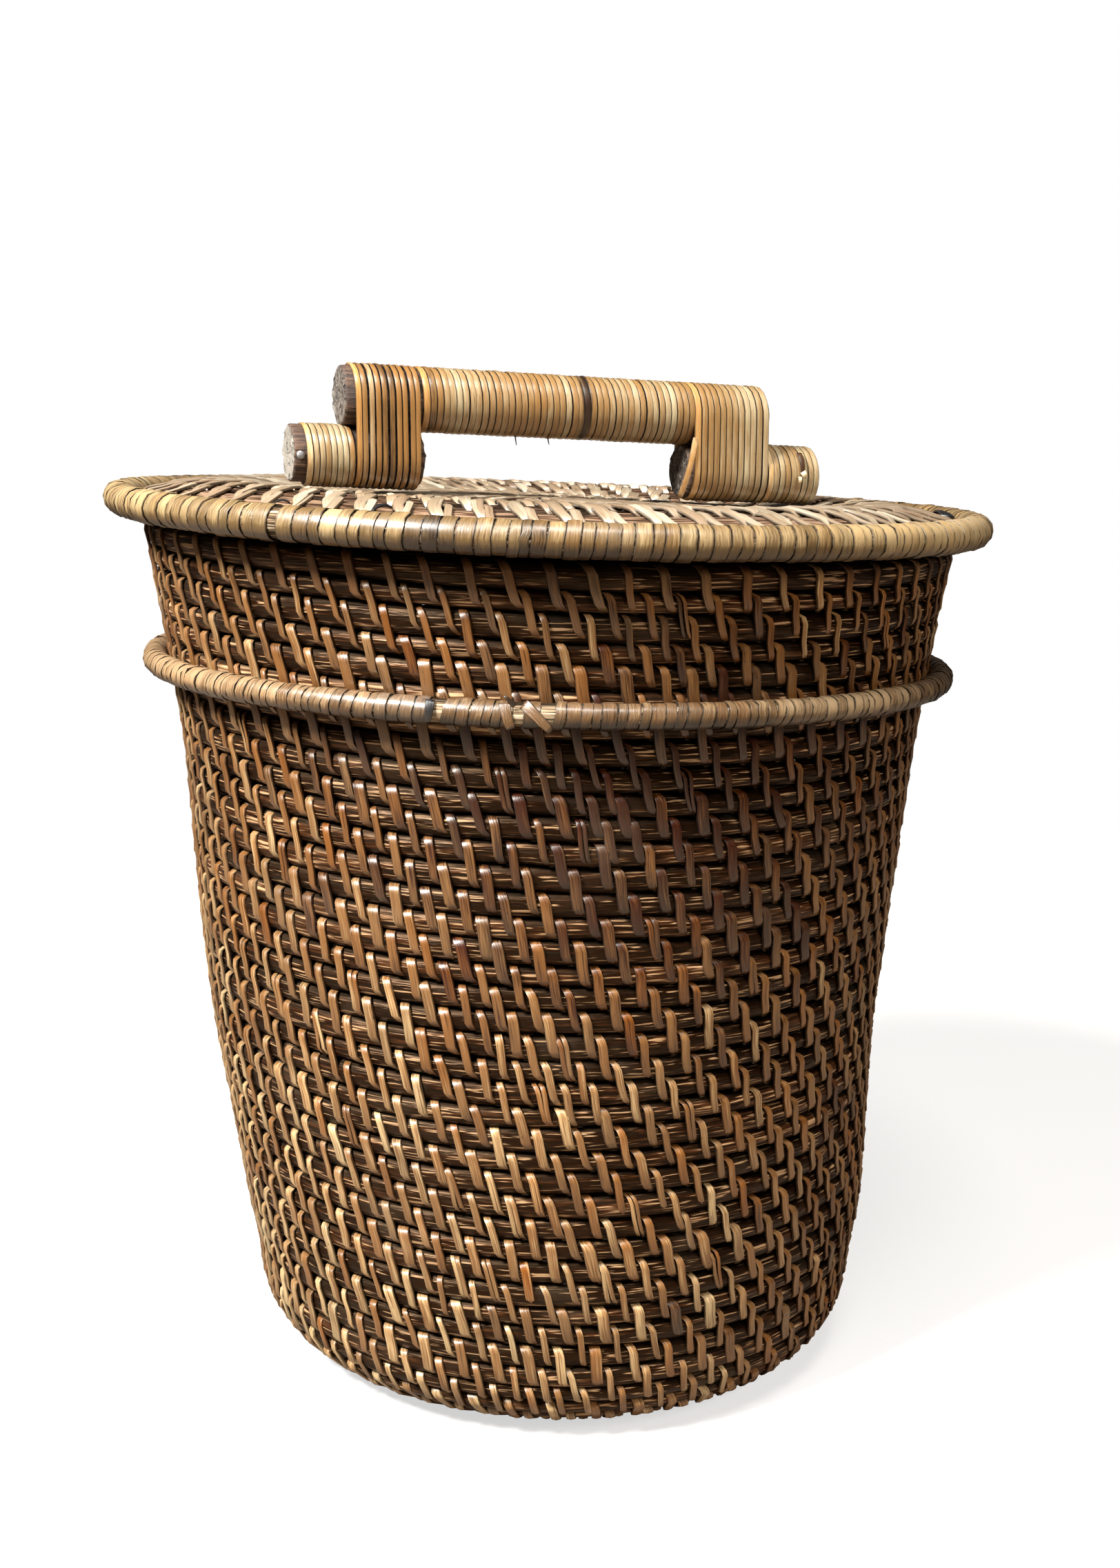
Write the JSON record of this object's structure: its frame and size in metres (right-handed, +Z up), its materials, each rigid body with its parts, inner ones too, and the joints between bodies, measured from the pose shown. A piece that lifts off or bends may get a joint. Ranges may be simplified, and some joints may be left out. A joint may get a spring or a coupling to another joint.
{
  "type": "lidded rattan basket",
  "caption": "Round coiled rattan basket with a flared mouth, a belly ring and a lift-off lid that carries a cane-wound pole handle.",
  "frame": {"origin": "centre of the flat base, on the floor", "axes": "+Z up along the centre line of the basket, handle bar along X, front towards -Y"},
  "size_m": [0.3692, 0.3692, 0.4201],
  "materials": {
    "base_rattan": "dull, worn split cane",
    "golden_rattan": "golden brown cane over dark rods, satin",
    "dark_rattan": "reddish dark cane over dark rods, satin",
    "pale_cane": "pale straw cane, semi-gloss",
    "lid_rattan": "pale straw cane, dull",
    "weathered_pole": "grey weathered rattan pole, sawn ends",
    "handle_cane": "glossy straw and orange-brown cane"
  },
  "bodies": {
    "basket": {"base_coils": "base_rattan", "wall_foot_courses": "golden_rattan", "wall_bend_courses": "golden_rattan", "wall_lower_courses": "golden_rattan", "wall_middle_courses": "golden_rattan", "wall_upper_courses": "dark_rattan", "mouth_coil": "dark_rattan", "belly_ring": "pale_cane"},
    "lid": {"lid_centre_coils": "lid_rattan", "lid_outer_coils": "lid_rattan", "lid_rim": "pale_cane", "lid_flange": "dark_rattan", "handle_stub_left": "weathered_pole", "handle_stub_right": "weathered_pole", "handle_bar": "weathered_pole", "bar_winding": "handle_cane", "leg_winding_left": "handle_cane", "leg_winding_right": "handle_cane", "stub_winding_left": "handle_cane", "stub_winding_right": "handle_cane"}
  },
  "joints": [
    {"name": "lid_lift", "type": "slide", "parent": "basket", "child": "lid", "axis": [0, 0, 1], "range_m": [0, 0.12]}
  ]
}
